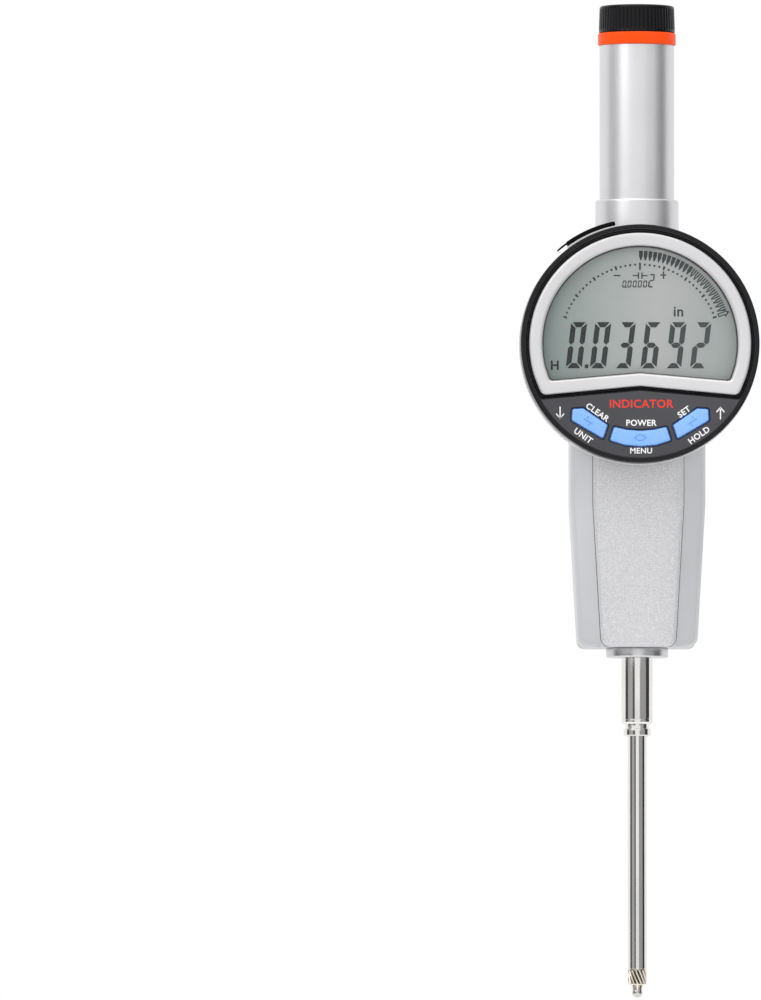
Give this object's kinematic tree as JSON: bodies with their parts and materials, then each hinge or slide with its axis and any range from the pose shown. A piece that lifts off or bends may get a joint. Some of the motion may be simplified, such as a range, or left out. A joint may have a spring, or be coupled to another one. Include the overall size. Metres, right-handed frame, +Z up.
{
  "type": "dial indicator",
  "caption": "Electronic long-stroke plunger indicator with a swivelling round display head, three keys, clamping stem and upper tube.",
  "frame": {"origin": "middle of the stem's plain clamping length, on the spindle axis", "axes": "+Z up along the spindle, away from the contact point; the display faces -Y; +X to the reader's right"},
  "size_m": [0.0608, 0.0403, 0.2525],
  "materials": {
    "ground_steel": "ground and polished steel",
    "satin_steel": "satin turned steel",
    "dark_steel": "blackened steel screws",
    "spring_steel": "drawn spring wire",
    "nickel": "nickel-plated knurled steel",
    "ball_steel": "polished steel",
    "bronze": "bearing bronze",
    "cast_silver": "fine pebbled silver paint on die casting",
    "case_silver": "silver paint on die casting",
    "satin_aluminium": "satin anodised aluminium",
    "orange_ring": "orange moulded ring",
    "cap_black": "ribbed black plastic",
    "port_black": "soft black cover",
    "black_rubber": "black rubber",
    "felt": "dense felt",
    "black_plastic": "moulded black plastic",
    "bezel_grey": "dark grey fine-grained moulding",
    "frame_grey": "light grey satin frame",
    "lens_clear": "clear window",
    "scale_glass": "glass scale with a fine grating",
    "display_grey": "grey-green reflective display",
    "key_blue": "soft blue keys",
    "circuit_board": "green circuit board",
    "amber_film": "amber polyimide film"
  },
  "bodies": {
    "housing": {"stem": "ground_steel", "stem_end_cap": "ground_steel", "spindle_wiper": "felt", "lower_bush": "bronze", "stem_flange": "satin_steel", "stem_nut": "ground_steel", "body_casting": "cast_silver", "rear_gasket": "black_rubber", "rear_cover": "cast_silver", "cover_screws": "dark_steel", "tube_collar": "satin_aluminium", "upper_tube": "satin_aluminium", "colour_ring": "orange_ring", "spring_post": "ground_steel", "guide_bracket": "satin_aluminium", "upper_bush": "bronze", "upper_bumper": "black_rubber", "lower_bumper": "black_rubber", "guide_rail": "ground_steel", "bracket_screws": "dark_steel", "detector_board": "circuit_board", "reading_head": "black_plastic", "board_screws": "dark_steel", "flex_ribbon": "amber_film", "swivel_hub": "ground_steel", "hub_screws": "dark_steel", "friction_washer": "bronze", "return_spring": "spring_steel"},
    "spindle_group": {"spindle": "ground_steel", "contact_point": "nickel", "contact_ball": "ball_steel", "scale_clamp": "satin_aluminium", "clamp_screws": "dark_steel", "scale_holder": "satin_aluminium", "scale_glass": "scale_glass", "spring_pin": "ground_steel"},
    "head": {"head_case": "case_silver", "case_screws": "dark_steel", "case_seal": "black_rubber", "stop_pin": "ground_steel", "bezel": "bezel_grey", "display_frame": "frame_grey", "lens": "lens_clear", "display_glass": "display_grey", "glass_carrier": "black_plastic", "contact_strip": "black_rubber", "keypad_mat": "black_rubber", "main_board": "circuit_board", "board_chips": "black_plastic", "key_switches": "black_plastic", "battery_contacts": "bronze", "data_socket": "black_plastic"},
    "left_key": {"key_left": "key_blue"},
    "centre_key": {"key_centre": "key_blue"},
    "right_key": {"key_right": "key_blue"},
    "battery_drawer": {"battery_tray": "case_silver", "battery": "ball_steel"},
    "port_plug": {"port_cover": "port_black"},
    "cap": {"top_cap": "cap_black"}
  },
  "joints": [
    {"name": "spindle_slide", "type": "slide", "parent": "housing", "child": "spindle_group", "axis": [0, 0, 1], "range_m": [0, 0.0508], "stiffness_N_per_m": 12, "springref_m": -0.06, "deforming": ["return_spring"]},
    {"name": "head_swivel", "type": "hinge", "parent": "housing", "child": "head", "pos_m": [0, -0.0136, 0.0866], "axis": [0, -1, 0], "range_deg": [-165, 165]},
    {"name": "left_key_press", "type": "slide", "parent": "head", "child": "left_key", "axis": [0, 1, 0], "range_m": [0, 0.0006], "stiffness_N_per_m": 800},
    {"name": "centre_key_press", "type": "slide", "parent": "head", "child": "centre_key", "axis": [0, 1, 0], "range_m": [0, 0.0006], "stiffness_N_per_m": 800},
    {"name": "right_key_press", "type": "slide", "parent": "head", "child": "right_key", "axis": [0, 1, 0], "range_m": [0, 0.0006], "stiffness_N_per_m": 800},
    {"name": "battery_drawer_slide", "type": "slide", "parent": "head", "child": "battery_drawer", "axis": [1, 0, 0], "range_m": [0, 0.026]},
    {"name": "port_cover_pull", "type": "slide", "parent": "head", "child": "port_plug", "axis": [-0.3987, 0, 0.9171], "range_m": [0, 0.008]},
    {"name": "cap_lift", "type": "slide", "parent": "housing", "child": "cap", "axis": [0, 0, 1], "range_m": [0, 0.012]}
  ]
}
